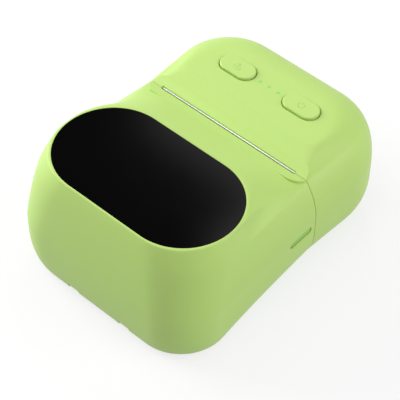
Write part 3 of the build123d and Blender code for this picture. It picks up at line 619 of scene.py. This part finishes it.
def lip():
    """Raised lip round the paper slot, with its top edges rounded."""
    points = stadium_points(0, seam_y, lip_half_length, lip_half_width)
    rim = prism_z("lip", points, (valley - lip_depth, body_height))
    rise = tan(behind_slot_slope)
    fall = slot_drop / (slot_from_window - window_radius - window_rim)
    edge = lip_half_width + overshoot
    deck = [(seam_y - edge, 0), (seam_y + edge, 0),
            (seam_y + edge, valley + edge * rise - lip_run_out), (seam_y, valley + lip_proud),
            (seam_y - edge, valley + edge * fall - lip_run_out)]
    side = lip_half_length + overshoot
    combine(rim, prism_x("deck", deck, (-side, side)), "INTERSECT")
    return bevel(rim, lip_round, 4)


def slab(y):
    """All of the body's width and height between two places along it."""
    side = rear_half_width + overshoot
    return block("slab", (-side, side), y, (-overshoot, body_height + overshoot))


def slot_cut(way):
    """The front (-1) or rear (1) shell's half of the paper slot."""
    depth = slot_front if way < 0 else head_y - seam_y + tear_bar_thickness
    edge = sorted((seam_y + way * depth, seam_y - way * seam_gap))
    z = (valley - lip_depth - overshoot, body_height)
    return block("slot", (-slot_half_length, slot_half_length), edge, z)


def both(maker, x):
    """The same piece on both sides, from a maker that takes two x limits."""
    return [maker(x), maker((-x[1], -x[0]))]


def lug_span(gap=0):
    """Limits along X of the right hinge lug, or of the room for it."""
    return (lug_x - lug_width / 2 - gap, lug_x + lug_width / 2 + gap)


def front_cover():
    """Front shell with its window seat, hinge knuckles, bosses and release guide."""
    shell = combine(front_solid("front_cover_shell"), lip(), "UNION")
    cut(shell, slab((seam_y - seam_gap / 2, rear_y + overshoot)))
    cut(shell, front_solid("hollow", wall, cover_roof), wedge("tray_space", parting_gap))
    seat = stadium_points(0, window_y, window_half_length, window_radius)
    hole = stadium_points(0, window_y, window_half_length - window_ledge, window_radius - window_ledge)
    cut(shell, prism_z("seat", seat, (body_height - window_thickness, body_height + overshoot)))
    hole_low = body_height - cover_roof - 2 * overshoot
    cut(shell, prism_z("hole", hole, (hole_low, body_height)), slot_cut(-1))
    lug = lug_span(lug_gap)
    notch_y = (front_y - overshoot, tray_front + notch_overrun)
    notch_z = (-overshoot, hinge_z)
    cut(shell, *both(lambda x: block("notch", x, notch_y, notch_z), lug))
    clear = knuckle_radius + knuckle_clearance
    cut(shell, *both(lambda x: rod_x("clear", x, hinge_y, hinge_z, clear), lug))
    opening = (release_inner - release_opening_depth, seam_half_width + 2 * overshoot)
    cut(shell, pill_x("opening", opening, release_y, release_z, release_length, release_width))
    inside = []
    for span in ((lug[0] - knuckle_width, lug[0]), (lug[1], lug[1] + knuckle_width)):
        inside += both(lambda x: rod_x("knuckle", x, hinge_y, hinge_z, knuckle_radius), span)
        web_y = (front_y + web_from_front, hinge_y)
        web_z = (hinge_z - overshoot, hinge_z + knuckle_radius)
        inside += both(lambda x: block("web", x, web_y, web_z), span)
    for x in (-bracket_screw_x, bracket_screw_x):
        z = (bracket_top, bracket_top + bracket_boss_height)
        inside.append(rod_z("boss", x, bracket_screw_y, z, boss_radius))
    inside += release_carrier()
    join(shell, inside)
    smooth(shell)
    return shell


def release_carrier():
    """Plate and two ribs inside the cover that guide the release button's stem."""
    y = (release_y - carrier_half_length, release_y + carrier_half_length)
    low, high = release_z - carrier_half_height, release_z + carrier_half_height
    plate = block("carrier", (carrier_x, carrier_x + carrier_thickness), y, (low, high))
    rib_x = (carrier_x, release_inner + overshoot)
    ribs = [block("rib", rib_x, y, (z, z + carrier_thickness)) for z in (low, high - carrier_thickness)]
    return [plate] + ribs


def rear_housing():
    """Rear shell with its keys' openings, light holes, port, posts and latch keeper."""
    shell = combine(rear_solid("rear_housing_shell"), lip(), "UNION")
    cut(shell, slab((front_y - overshoot, seam_y + seam_gap / 2)))
    cut(shell, rear_solid("hollow", wall, housing_roof), wedge("tray_space", parting_gap))
    cut(shell, slot_cut(1))
    roof = (plateau - housing_roof - overshoot, plateau + overshoot)
    half, radius = button_length / 2, button_width / 2
    for x in (-button_x, button_x):
        moat = stadium_points(x, button_y, half + moat_width, radius + moat_width)
        sunk = prism_z("moat", moat, (plateau - moat_depth, plateau + overshoot))
        slant(sunk, plateau - moat_depth / 2, x, moat_slope)
        hole = stadium_points(x, button_y, half + button_gap, radius + button_gap)
        cut(shell, sunk, prism_z("hole", hole, (roof[0], plateau)))
    for i in (-1, 0, 1):
        cut(shell, rod_z("light_hole", i * light_spacing, button_y, roof, light_radius + light_gap))
    port = stadium_points(0, usb_z, port_half_width, port_radius)
    rings = [[(x, y, z) for x, z in port] for y in (rear_y - port_depth, rear_y + overshoot)]
    hole = from_rings("port", rings)
    settle(hole)
    cut(shell, hole)
    inside = rods("post", housing_screw_spots, (post_split, post_top), post_radius)
    inside += rods("boss", board_boss_spots, (board_top, board_boss_top), boss_radius)
    inside += rods("boss", key_boss_spots, (key_board_top, key_boss_top), key_boss_radius)
    inside.append(block("keeper", keeper_x, keeper_y, keeper_z))
    join(shell, inside)
    smooth(shell)
    return shell


def slant(obj, level, x, by):
    """Draws the lower ring of a stadium cutter in, so that the recess has a sloped side."""
    for vertex in obj.data.vertices:
        if vertex.co.z < level:
            away = Vector((vertex.co.x - x, vertex.co.y - button_y))
            spine = button_length / 2 - button_width / 2
            centre = Vector((max(-spine, min(spine, away.x)), 0))
            away = away - centre
            away = away * (1 - by / away.length) + centre
            vertex.co.x, vertex.co.y = x + away.x, button_y + away.y


def base_tray():
    """Shallow tray under both shells with its hinge lugs, posts and room for the feet."""
    front = combine(front_solid("base_tray_shell"), wedge("keep"), "INTERSECT")
    rear = combine(rear_solid("rear_tray"), wedge("keep"), "INTERSECT")
    side = rear_half_width
    hollow = (floor_top, parting_seam + tray_pocket_rise)
    for part, solid in ((front, front_solid), (rear, rear_solid)):
        pocket = solid("pocket", wall, cover_roof)
        limits = block("limits", (-side, side), (front_y, rear_y), hollow)
        cut(part, combine(pocket, limits, "INTERSECT"))
    room_y = (front_y - 2 * overshoot, tray_front)
    cut(front, block("hinge_room", (-side, side), room_y, (-overshoot, parting_seam)))
    floor = front_solid("floor", wall + cover_floor_gap, cover_roof)
    floor_z = (shell_bottom + cover_floor_lift, floor_top)
    limits = block("limits", (-side, side), (tray_front, seam_y), floor_z)
    floor = combine(floor, limits, "INTERSECT")
    root = tray_front + neck_root
    shoulder = (hinge_y + neck_shoulder[0], hinge_z + neck_shoulder[1])
    neck = [(hinge_y, hinge_z - knuckle_radius), (tray_front, shell_bottom), (root, shell_bottom),
            (root, floor_top), shoulder]
    lugs = both(lambda x: prism_x("neck", neck, x), lug_span())
    lugs += both(lambda x: rod_x("lug", x, hinge_y, hinge_z, knuckle_radius), lug_span())
    low = floor_top - post_root
    posts = rods("post", housing_screw_spots, (low, post_split), post_radius)
    posts += rods("post", frame_screw_spots, (low, frame_post_top), boss_radius)
    pinion_y = window_y + pinion_behind_window
    posts.append(rod_z("pinion_post", 0, pinion_y, (low, pinion_post_top), pinion_post_radius))
    for x, y in foot_spots:
        part = front if y < seam_y else rear
        cut(part, rod_z("foot_room", x, y, (-overshoot, foot_height), foot_radius))
    cut(rear, *rods("screw_room", housing_screw_spots, (-overshoot, screw_head_room), screw_head_radius))
    tray = join(front, [rear, floor] + lugs + posts)
    smooth(tray)
    return tray


# Smaller pieces

def window():
    """Smoked pane, flush with the window rim."""
    points = stadium_points(0, window_y, window_half_length - window_gap, window_radius - window_gap)
    pane = prism_z("smoked_window", points, (body_height - window_thickness, body_height))
    bevel(pane, window_edge, 3)
    smooth(pane)
    flatten(pane)
    return pane


def cap(name, x):
    """Key cap with a soft crown edge, its flange and its stem."""
    half, radius = button_length / 2, button_width / 2
    high = plateau - housing_roof - button_flange_gap
    low = high - button_flange
    body = prism_z(name, stadium_points(x, button_y, half, radius), (low, plateau + button_proud))
    bevel(body, button_edge, 5)
    edge = stadium_points(x, button_y, half + button_flange_edge, radius + button_flange_edge)
    flange = prism_z("flange", edge, (low, high))
    stem = rod_z("stem", x, button_y, (button_stem_foot, high), button_stem_radius)
    join(body, [flange, stem])
    smooth(body)
    flatten(body)
    return body


def release_face():
    """Soft-edged face of the release button, just below the cover's wall."""
    outer = release_inner + wall - release_face_sunk
    size = (release_length - 2 * release_gap, release_width - 2 * release_gap)
    face = pill_x("release_face", (outer - release_face_thickness, outer), release_y, release_z, *size)
    bevel(face, release_face_edge, 4)
    smooth(face)
    return face


def tear_bar():
    """Thin bright blade along the rear side of the slot, with a ground upper edge."""
    half = slot_half_length - tear_bar_end_gap
    y = (head_y, head_y + tear_bar_thickness - tear_bar_rear_gap)
    bar = block("tear_bar_blade", (-half, half), y, (valley - tear_bar_depth, valley + tear_bar_proud))
    bevel(bar, tear_bar_edge, 2)
    smooth(bar)
    return bar


def wire(name, paths, width, resolution):
    """Round wire along open paths of 3-D points."""
    curve = bpy.data.curves.new(name, "CURVE")
    curve.dimensions = "3D"
    curve.bevel_depth = width / 2
    curve.bevel_resolution = resolution
    for path in paths:
        spline = curve.splines.new("POLY")
        spline.points.add(len(path) - 1)
        for point, place in zip(spline.points, path):
            point.co = (*place, 1)
    bent = bpy.data.objects.new(name, curve)
    bpy.context.scene.collection.objects.link(bent)
    depsgraph = bpy.context.evaluated_depsgraph_get()
    mesh = bpy.data.meshes.new_from_object(bent.evaluated_get(depsgraph))
    bpy.data.objects.remove(bent)
    obj = bpy.data.objects.new(name, mesh)
    bpy.context.scene.collection.objects.link(obj)
    return obj


def symbol(name, paths):
    """Flat raised strokes along (x, y) paths on top of a key."""
    obj = wire(name, [[(x, y, symbol_z) for x, y in path] for path in paths], symbol_width, 2)
    for vertex in obj.data.vertices:
        vertex.co.z = symbol_z + (vertex.co.z - symbol_z) * symbol_flatness
    return obj


def power_symbol():
    """Generic on and off symbol: an open ring with a stroke in the gap."""
    x, y = button_x, button_y
    start, sweep, steps = 60, 300, 24
    turns = [radians(start - sweep * i / steps) for i in range(steps + 1)]
    ring = [(x + power_ring_radius * cos(a), y + power_ring_radius * sin(a)) for a in turns]
    stroke = [(x, y + 0.0003), (x, y + 0.0015)]
    return symbol("power_symbol", [ring, stroke])


def feed_symbol():
    """Generic paper feed symbol: a sheet with an arrow that leads out of it."""
    x, y = -button_x, button_y
    narrow, wide = 0.0007, 0.0013
    edge, foot = y - 0.0002, y - 0.0013
    tail, barb, tip = y - 0.0008, y + 0.0007, y + 0.0014
    sheet = [(x - narrow, edge), (x - wide, edge), (x - wide, foot),
             (x + wide, foot), (x + wide, edge), (x + narrow, edge)]
    shaft = [(x, tail), (x, tip)]
    head = [(x - narrow, barb), (x, tip), (x + narrow, barb)]
    return symbol("feed_symbol", [sheet, shaft, head])


def release_spring():
    """Coil between the carrier and the release button's flange."""
    start = carrier_x + carrier_thickness
    steps = spring_steps * spring_turns
    path = []
    for i in range(steps + 1):
        turn = 2 * pi * spring_turns * i / steps
        x = start + spring_wire / 2 + (spring_end - start - spring_wire) * i / steps
        path.append((x, release_y + spring_radius * cos(turn), release_z + spring_radius * sin(turn)))
    coil = wire("release_coil", [path], spring_wire, 3)
    smooth(coil, 60)
    return coil


# Materials

def material(name, colour, roughness, metallic=0.0, grain=2500, bump=0.03, tint=0.03,
             specular=0.5, coat=0.0, sheen=0.0):
    """Finish with fine grain in its bump, roughness and colour."""
    made = bpy.data.materials.new(name)
    made.use_nodes = True
    nodes, links = made.node_tree.nodes, made.node_tree.links
    shader = nodes["Principled BSDF"]
    shader.inputs["Metallic"].default_value = metallic
    shader.inputs["Specular IOR Level"].default_value = specular
    shader.inputs["Coat Weight"].default_value = coat
    shader.inputs["Sheen Weight"].default_value = sheen
    shader.inputs["Sheen Roughness"].default_value = sheen_roughness
    place = nodes.new("ShaderNodeTexCoord")
    fine = nodes.new("ShaderNodeTexNoise")
    fine.inputs["Scale"].default_value = grain
    fine.inputs["Detail"].default_value = 3
    links.new(place.outputs["Object"], fine.inputs["Vector"])
    broad = nodes.new("ShaderNodeTexNoise")
    broad.inputs["Scale"].default_value = broad_scale
    broad.inputs["Detail"].default_value = 2
    links.new(place.outputs["Object"], broad.inputs["Vector"])
    ramp = nodes.new("ShaderNodeMix")
    ramp.data_type = "RGBA"
    ramp.inputs["A"].default_value = (*[c * (1 - tint) for c in colour], 1)
    ramp.inputs["B"].default_value = (*[min(c * (1 + tint), 1) for c in colour], 1)
    links.new(broad.outputs["Fac"], ramp.inputs["Factor"])
    links.new(ramp.outputs["Result"], shader.inputs["Base Color"])
    spread_roughness = nodes.new("ShaderNodeMapRange")
    spread_roughness.inputs["To Min"].default_value = max(roughness - roughness_spread, 0.02)
    spread_roughness.inputs["To Max"].default_value = min(roughness + roughness_spread, 1)
    links.new(fine.outputs["Fac"], spread_roughness.inputs["Value"])
    links.new(spread_roughness.outputs["Result"], shader.inputs["Roughness"])
    relief = nodes.new("ShaderNodeBump")
    relief.inputs["Strength"].default_value = bump
    relief.inputs["Distance"].default_value = relief_height
    links.new(fine.outputs["Fac"], relief.inputs["Height"])
    links.new(relief.outputs["Normal"], shader.inputs["Normal"])
    return made


def brushed(name, colour, roughness, metallic=1.0):
    """Metal with fine parallel scratches."""
    made = material(name, colour, roughness, metallic=metallic, bump=0.05, tint=0.04)
    nodes, links = made.node_tree.nodes, made.node_tree.links
    fine = next(n for n in nodes if n.type == "TEX_NOISE" and n.inputs["Scale"].default_value > 1000)
    place = next(n for n in nodes if n.type == "TEX_COORD")
    stretch = nodes.new("ShaderNodeMapping")
    stretch.inputs["Scale"].default_value = scratch_stretch
    links.new(place.outputs["Object"], stretch.inputs["Vector"])
    links.new(stretch.outputs["Vector"], fine.inputs["Vector"])
    fine.inputs["Scale"].default_value = scratch_scale
    return made


def finishes():
    """Materials by the record's slot names."""
    return {
        "lime_shell": material("lime_shell_grain", lime, 0.5, grain=2600, bump=0.035, tint=0.015,
                               specular=0.45, sheen=0.06),
        "lime_button": material("lime_button_satin", lime, 0.46, grain=3200, bump=0.02, tint=0.015,
                                specular=0.45, sheen=0.06),
        # Release button face: a darker green that paints the shade of its recess
        "green_button": material("green_button_painted_shade", release_painted_shade_green, 0.5, grain=3000, bump=0.03),
        "smoked_window": material("smoked_polish", smoked_black, 0.13, grain=40, bump=0.0,
                                  specular=0.014),
        "black_plastic": material("black_moulded", moulded_black, 0.5, grain=1800, bump=0.06, tint=0.1),
        "ivory_plastic": material("ivory_gear", (0.75, 0.72, 0.62), 0.4, grain=1500, bump=0.02),
        "grey_plastic": material("grey_moulded", (0.25, 0.26, 0.27), 0.45, grain=1800, bump=0.05),
        "clear_green": material("light_guide", lamp_light_green, 0.3, grain=800, bump=0.01),
        "lamp_green": material("lamp_body", (0.2, 0.7, 0.2), 0.3, grain=900, bump=0.01),
        "plate_steel": brushed("plated_steel", (0.55, 0.55, 0.56), 0.34),
        "bright_steel": brushed("turned_steel", (0.70, 0.70, 0.72), 0.2),
        "spring_steel": brushed("spring_wire", (0.50, 0.50, 0.52), 0.3),
        "heat_sink_aluminium": brushed("extruded_aluminium", (0.66, 0.67, 0.69), 0.38),
        "head_ceramic": material("glazed_ceramic", glazed_white, 0.15, grain=700, bump=0.01, coat=0.4),
        "board_green": material("solder_mask", board_mask_green, 0.35, grain=1400, bump=0.05,
                                tint=0.12, coat=0.2),
        "chip_black": material("chip_mould", (0.02, 0.02, 0.02), 0.55, grain=3500, bump=0.08),
        "battery_wrap": material("shrink_wrap", (0.10, 0.16, 0.35), 0.3, grain=300, bump=0.05, coat=0.2),
        "black_rubber": material("ground_rubber", (0.025, 0.025, 0.027), 0.75, grain=2200, bump=0.12),
        "grey_foam": material("closed_foam", (0.20, 0.20, 0.21), 0.9, grain=1500, bump=0.3, tint=0.12),
        "flex_orange": material("polyimide", (0.60, 0.25, 0.05), 0.3, grain=900, bump=0.02),
    }


def dress(obj, finish):
    """Gives an object one finish."""
    obj.data.materials.clear()
    obj.data.materials.append(finish)


def place_piece(obj, slot, finish, body, *nodes):
    """Gives a new piece its finish and body, and lets it stand for CAD nodes."""
    dress(obj, finish)
    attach(obj, body)
    if nodes:
        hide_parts(*nodes)


# Floor, lamps and camera

def seen_directly(nodes, links):
    """Output that is 1 for rays by which the picture shows a background, and 0 for its light."""
    path = nodes.new("ShaderNodeLightPath")
    total = path.outputs["Is Camera Ray"]
    for ray in ("Is Glossy Ray", "Is Transmission Ray"):
        larger = nodes.new("ShaderNodeMath")
        larger.operation = "MAXIMUM"
        links.new(total, larger.inputs[0])
        links.new(path.outputs[ray], larger.inputs[1])
        total = larger.outputs["Value"]
    return total


def floor_finish():
    """Matt pale floor, lifted towards white where it is seen, so that a soft shadow stays."""
    made = bpy.data.materials.new("pale_floor")
    made.use_nodes = True
    nodes, links = made.node_tree.nodes, made.node_tree.links
    shader = nodes["Principled BSDF"]
    shader.inputs["Roughness"].default_value = 1.0
    shader.inputs["Specular IOR Level"].default_value = 0.0
    seen = seen_directly(nodes, links)
    colour = nodes.new("ShaderNodeMix")
    colour.data_type = "RGBA"
    colour.inputs["A"].default_value = (floor_colour, floor_colour, floor_colour, 1)
    colour.inputs["B"].default_value = (seen_floor_colour, seen_floor_colour, seen_floor_colour, 1)
    links.new(seen, colour.inputs["Factor"])
    links.new(colour.outputs["Result"], shader.inputs["Base Color"])
    white = nodes.new("ShaderNodeEmission")
    white.inputs["Strength"].default_value = 1.0
    lift = nodes.new("ShaderNodeMath")
    lift.operation = "MULTIPLY"
    links.new(seen, lift.inputs[0])
    lift.inputs[1].default_value = 1 - shadow_share
    mix = nodes.new("ShaderNodeMixShader")
    links.new(lift.outputs["Value"], mix.inputs["Fac"])
    links.new(shader.outputs["BSDF"], mix.inputs[1])
    links.new(white.outputs["Emission"], mix.inputs[2])
    links.new(mix.outputs["Shader"], nodes["Material Output"].inputs["Surface"])
    return made


def backdrop():
    """Wide floor just under the feet."""
    bm = bmesh.new()
    bmesh.ops.create_grid(bm, x_segments=8, y_segments=8, size=floor_half_size)
    floor = new_object("floor", bm)
    floor.location.z = -floor_gap
    dress(floor, floor_finish())


def world():
    """Even pale light that the picture shows as white."""
    made = bpy.data.worlds.new("studio")
    bpy.context.scene.world = made
    made.use_nodes = True
    nodes, links = made.node_tree.nodes, made.node_tree.links
    light = nodes["Background"]
    light.inputs["Color"].default_value = (1, 1, 1, 1)
    light.inputs["Strength"].default_value = world_light
    seen = nodes.new("ShaderNodeBackground")
    seen.inputs["Color"].default_value = (1, 1, 1, 1)
    seen.inputs["Strength"].default_value = 1.0
    mix = nodes.new("ShaderNodeMixShader")
    links.new(seen_directly(nodes, links), mix.inputs["Fac"])
    links.new(light.outputs["Background"], mix.inputs[1])
    links.new(seen.outputs["Background"], mix.inputs[2])
    links.new(mix.outputs["Shader"], nodes["World Output"].inputs["Surface"])


def lamp(name, size, power, tint=(1, 1, 1)):
    """Rectangular lamp that shines downwards."""
    data = bpy.data.lights.new(name, "AREA")
    data.shape = "RECTANGLE"
    data.color = tint
    data.size, data.size_y = size
    data.energy = power
    obj = bpy.data.objects.new(name, data)
    bpy.context.scene.collection.objects.link(obj)
    return obj


def soft_lamp(name, direction, size, power, tint=(1, 1, 1)):
    """Lamp at a fixed distance from the object, in a direction seen from it."""
    obj = lamp(name, size, power, tint)
    away = Vector(direction).normalized()
    obj.location = Vector((0, 0, body_height / 2)) + away * lamp_distance
    obj.rotation_euler = (-away).to_track_quat("-Z", "Y").to_euler()


def mirrored_lamp(name, x, y):
    """Lamp over the object that the window shows between these limits of its own plane.

    A mirror ray that leaves the window at a spot meets the lamp's level at the spot that
    the camera's line through it would reach as far below the window.
    """
    eye = bpy.context.scene.camera.location - Vector((0, window_y, body_height))
    stretch = (eye.z + band_height) / eye.z
    low_x, high_x = (eye.x + (edge - eye.x) * stretch for edge in x)
    low_y, high_y = (eye.y + (edge - eye.y) * stretch for edge in y)
    size = (high_x - low_x, high_y - low_y)
    obj = lamp(name, size, band_power * size[0] * size[1])
    centre = Vector(((low_x + high_x) / 2, (low_y + high_y) / 2, band_height))
    obj.location = Vector((0, window_y, body_height)) + centre


def camera():
    """Camera at the photograph's angle."""
    azimuth, elevation, roll = camera_azimuth, camera_elevation, camera_roll
    right = Vector((cos(azimuth), sin(azimuth), 0))
    ahead = Vector((-sin(azimuth) * cos(elevation), cos(azimuth) * cos(elevation), -sin(elevation)))
    up = Vector((-sin(azimuth) * sin(elevation), cos(azimuth) * sin(elevation), cos(elevation)))
    side = right * cos(roll) + up * sin(roll)
    top = up * cos(roll) - right * sin(roll)
    target = Vector((0, window_y, body_height))
    data = bpy.data.cameras.new("photo_camera")
    data.sensor_width = sensor_width
    data.lens = focal_length
    data.clip_start, data.clip_end = 0.01, 10
    obj = bpy.data.objects.new("photo_camera", data)
    bpy.context.scene.collection.objects.link(obj)
    turn = Matrix((side, top, -ahead)).transposed().to_4x4()
    place = target - side * camera_across + top * camera_down - ahead * camera_distance
    obj.matrix_world = Matrix.Translation(place) @ turn
    bpy.context.scene.camera = obj


def lamps():
    """Soft lamps round the object, and two bright bands that the window mirrors."""
    soft_lamp("overhead", (0.05, -0.2, 1), (0.5, 0.5), 1.4, warm)
    soft_lamp("left", (-0.9, -0.20, 0.42), (0.5, 0.4), 4.8)
    soft_lamp("right_rear", (0.85, 0.35, 0.35), (0.4, 0.4), 2.1)
    mirrored_lamp("rear_band", (-0.020, 0.045), (0.0165, 0.030))
    mirrored_lamp("right_band", (0.0310, 0.045), (-0.010, 0.0165))


def place_pieces(finish):
    """Puts the finer pieces in the place of the CAD nodes that show."""
    shell, key = finish["lime_shell"], finish["lime_button"]
    place_piece(front_cover(), "lime_shell", shell, "cover", "front_cover")
    place_piece(rear_housing(), "lime_shell", shell, "base", "rear_housing")
    place_piece(base_tray(), "lime_shell", shell, "base", "base_tray")
    place_piece(window(), "smoked_window", finish["smoked_window"], "cover", "window")
    place_piece(cap("feed_cap", -button_x), "lime_button", key, "feed_key", "feed_button")
    place_piece(cap("power_cap", button_x), "lime_button", key, "power_key", "power_button")
    bright = brushed("bright_bar", bright_grey, 0.38, metallic=0.85)
    place_piece(tear_bar(), "plate_steel", bright, "base", "tear_bar")
    # The release button's face carries painted shade in its darker green
    place_piece(release_face(), "green_button", finish["green_button"], "release")
    print_green = material("symbol_print", symbol_green, 0.5, grain=3000, bump=0.01)
    place_piece(feed_symbol(), "lime_button", print_green, "feed_key")
    place_piece(power_symbol(), "lime_button", print_green, "power_key")
    spring = release_spring()
    place_piece(spring, "spring_steel", finish["spring_steel"], "cover", "release_spring")
    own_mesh(spring)


def build():
    """Dresses the frame, places the finer pieces and sets the stage."""
    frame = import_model()
    finish = finishes()
    slots = {part["node"]: part["material_slot"] for part in frame["record"]["subparts"]}
    for name, obj in frame["nodes"].items():
        dress(obj, finish[slots[name]])
    place_pieces(finish)
    backdrop()
    world()
    camera()
    lamps()
    bpy.context.scene.view_settings.view_transform = "Standard"


build()
